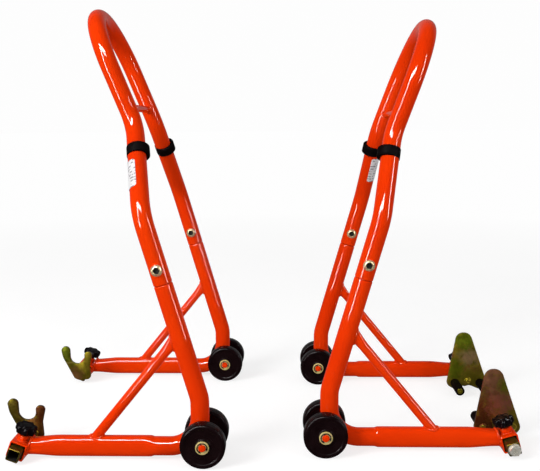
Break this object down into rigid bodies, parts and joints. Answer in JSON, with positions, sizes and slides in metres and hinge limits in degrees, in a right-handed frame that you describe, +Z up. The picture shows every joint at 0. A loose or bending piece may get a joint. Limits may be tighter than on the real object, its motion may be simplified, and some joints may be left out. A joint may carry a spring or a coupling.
{
  "type": "motorcycle paddock stands",
  "caption": "Rear and front motorcycle lifting stands with bent tube frames, wheels, clamped sliders, spool hooks and swinging fork plates.",
  "frame": {"origin": "middle of the set's bounding box in X and Y, on the floor", "axes": "+X from the rear stand towards the front stand, along the arms; +Y across both stands; +Z up"},
  "size_m": [0.9198, 0.5392, 0.7743],
  "materials": {
    "orange_powder_coat": "glossy powder coat",
    "yellow_zinc": "yellow chromate zinc plating",
    "black_plastic": "satin moulded",
    "black_rubber": "matte",
    "dark_steel": "dull, unpainted",
    "white_paper": "matte"
  },
  "bodies": {
    "rear_frame": {"rear_handle_tube": "orange_powder_coat", "rear_handle_cross_bar": "orange_powder_coat", "rear_label": "white_paper", "rear_bumper_band_left": "black_rubber", "rear_bumper_band_right": "black_rubber", "rear_side_tube_left": "orange_powder_coat", "rear_side_tube_right": "orange_powder_coat", "rear_brace_left": "orange_powder_coat", "rear_brace_right": "orange_powder_coat", "rear_spigot_left": "dark_steel", "rear_spigot_right": "dark_steel", "rear_joint_bolt_left": "yellow_zinc", "rear_joint_bolt_right": "yellow_zinc", "rear_axle_pin_left": "orange_powder_coat", "rear_axle_pin_right": "orange_powder_coat", "rear_socket_left": "orange_powder_coat", "rear_socket_right": "orange_powder_coat"},
    "front_frame": {"front_handle_tube": "orange_powder_coat", "front_handle_cross_bar": "orange_powder_coat", "front_label": "white_paper", "front_bumper_band_left": "black_rubber", "front_bumper_band_right": "black_rubber", "front_side_tube_left": "orange_powder_coat", "front_side_tube_right": "orange_powder_coat", "front_brace_left": "orange_powder_coat", "front_brace_right": "orange_powder_coat", "front_spigot_left": "dark_steel", "front_spigot_right": "dark_steel", "front_joint_bolt_left": "yellow_zinc", "front_joint_bolt_right": "yellow_zinc", "front_axle_pin_left": "orange_powder_coat", "front_axle_pin_right": "orange_powder_coat", "front_socket_left": "orange_powder_coat", "front_socket_right": "orange_powder_coat"},
    "rear_wheel_left_outer_body": {"rear_wheel_left_outer": "black_plastic"},
    "rear_wheel_left_inner_body": {"rear_wheel_left_inner": "black_plastic"},
    "rear_slider_left_body": {"rear_slider_left": "yellow_zinc", "rear_hook_left": "yellow_zinc"},
    "rear_knob_left_body": {"rear_knob_left": "black_plastic"},
    "rear_wheel_right_outer_body": {"rear_wheel_right_outer": "black_plastic"},
    "rear_wheel_right_inner_body": {"rear_wheel_right_inner": "black_plastic"},
    "rear_slider_right_body": {"rear_slider_right": "yellow_zinc", "rear_hook_right": "yellow_zinc"},
    "rear_knob_right_body": {"rear_knob_right": "black_plastic"},
    "front_wheel_left_outer_body": {"front_wheel_left_outer": "black_plastic"},
    "front_wheel_left_inner_body": {"front_wheel_left_inner": "black_plastic"},
    "front_slider_left_body": {"front_slider_left": "yellow_zinc", "front_pivot_bolt_left": "yellow_zinc"},
    "front_knob_left_body": {"front_knob_left": "black_plastic"},
    "front_fork_plate_left_body": {"front_fork_plate_left": "yellow_zinc", "front_fork_sleeve_left_back": "black_rubber", "front_fork_sleeve_left_tip": "black_rubber"},
    "front_wheel_right_outer_body": {"front_wheel_right_outer": "black_plastic"},
    "front_wheel_right_inner_body": {"front_wheel_right_inner": "black_plastic"},
    "front_slider_right_body": {"front_slider_right": "yellow_zinc", "front_pivot_bolt_right": "yellow_zinc"},
    "front_knob_right_body": {"front_knob_right": "black_plastic"},
    "front_fork_plate_right_body": {"front_fork_plate_right": "yellow_zinc", "front_fork_sleeve_right_back": "black_rubber", "front_fork_sleeve_right_tip": "black_rubber"}
  },
  "joints": [
    {"name": "front_stand_spacing", "type": "slide", "parent": "rear_frame", "child": "front_frame", "axis": [1, 0, 0], "range_m": [0, 0.3]},
    {"name": "rear_wheel_left_outer_roll", "type": "hinge", "parent": "rear_frame", "child": "rear_wheel_left_outer_body", "pos_m": [-0.1027, -0.221, 0.038], "axis": [0, 1, 0], "continuous": true},
    {"name": "rear_wheel_left_inner_roll", "type": "hinge", "parent": "rear_frame", "child": "rear_wheel_left_inner_body", "pos_m": [-0.1027, -0.221, 0.038], "axis": [0, 1, 0], "continuous": true},
    {"name": "rear_slider_left_slide", "type": "slide", "parent": "rear_frame", "child": "rear_slider_left_body", "axis": [0, -1, 0], "range_m": [-0.022, 0.026]},
    {"name": "rear_knob_left_turn", "type": "hinge", "parent": "rear_frame", "child": "rear_knob_left_body", "pos_m": [-0.4207, -0.221, 0.01938], "axis": [0.3584, 0, 0.9336], "range_deg": [-360, 360]},
    {"name": "rear_wheel_right_outer_roll", "type": "hinge", "parent": "rear_frame", "child": "rear_wheel_right_outer_body", "pos_m": [-0.1027, 0.221, 0.038], "axis": [0, 1, 0], "continuous": true},
    {"name": "rear_wheel_right_inner_roll", "type": "hinge", "parent": "rear_frame", "child": "rear_wheel_right_inner_body", "pos_m": [-0.1027, 0.221, 0.038], "axis": [0, 1, 0], "continuous": true},
    {"name": "rear_slider_right_slide", "type": "slide", "parent": "rear_frame", "child": "rear_slider_right_body", "axis": [0, 1, 0], "range_m": [-0.022, 0.026]},
    {"name": "rear_knob_right_turn", "type": "hinge", "parent": "rear_frame", "child": "rear_knob_right_body", "pos_m": [-0.4207, 0.221, 0.01938], "axis": [0.3584, 0, 0.9336], "range_deg": [-360, 360]},
    {"name": "front_wheel_left_outer_roll", "type": "hinge", "parent": "front_frame", "child": "front_wheel_left_outer_body", "pos_m": [0.1023, 0.198, 0.038], "axis": [0, 1, 0], "continuous": true},
    {"name": "front_wheel_left_inner_roll", "type": "hinge", "parent": "front_frame", "child": "front_wheel_left_inner_body", "pos_m": [0.1023, 0.198, 0.038], "axis": [0, 1, 0], "continuous": true},
    {"name": "front_slider_left_slide", "type": "slide", "parent": "front_frame", "child": "front_slider_left_body", "axis": [0, 1, 0], "range_m": [-0.022, 0.026]},
    {"name": "front_knob_left_turn", "type": "hinge", "parent": "front_frame", "child": "front_knob_left_body", "pos_m": [0.4203, 0.198, 0.01855], "axis": [-0.2756, 0, 0.9613], "range_deg": [-360, 360]},
    {"name": "front_fork_plate_left_swing", "type": "hinge", "parent": "front_slider_left_body", "child": "front_fork_plate_left_body", "pos_m": [0.4207, 0.133, 0.01716], "axis": [0, 1, 0], "range_deg": [-25, 25]},
    {"name": "front_wheel_right_outer_roll", "type": "hinge", "parent": "front_frame", "child": "front_wheel_right_outer_body", "pos_m": [0.1023, -0.178, 0.038], "axis": [0, 1, 0], "continuous": true},
    {"name": "front_wheel_right_inner_roll", "type": "hinge", "parent": "front_frame", "child": "front_wheel_right_inner_body", "pos_m": [0.1023, -0.178, 0.038], "axis": [0, 1, 0], "continuous": true},
    {"name": "front_slider_right_slide", "type": "slide", "parent": "front_frame", "child": "front_slider_right_body", "axis": [0, -1, 0], "range_m": [-0.022, 0.026]},
    {"name": "front_knob_right_turn", "type": "hinge", "parent": "front_frame", "child": "front_knob_right_body", "pos_m": [0.4203, -0.178, 0.01855], "axis": [-0.2756, 0, 0.9613], "range_deg": [-360, 360]},
    {"name": "front_fork_plate_right_swing", "type": "hinge", "parent": "front_slider_right_body", "child": "front_fork_plate_right_body", "pos_m": [0.4207, -0.113, 0.01716], "axis": [0, 1, 0], "range_deg": [-25, 25]}
  ]
}
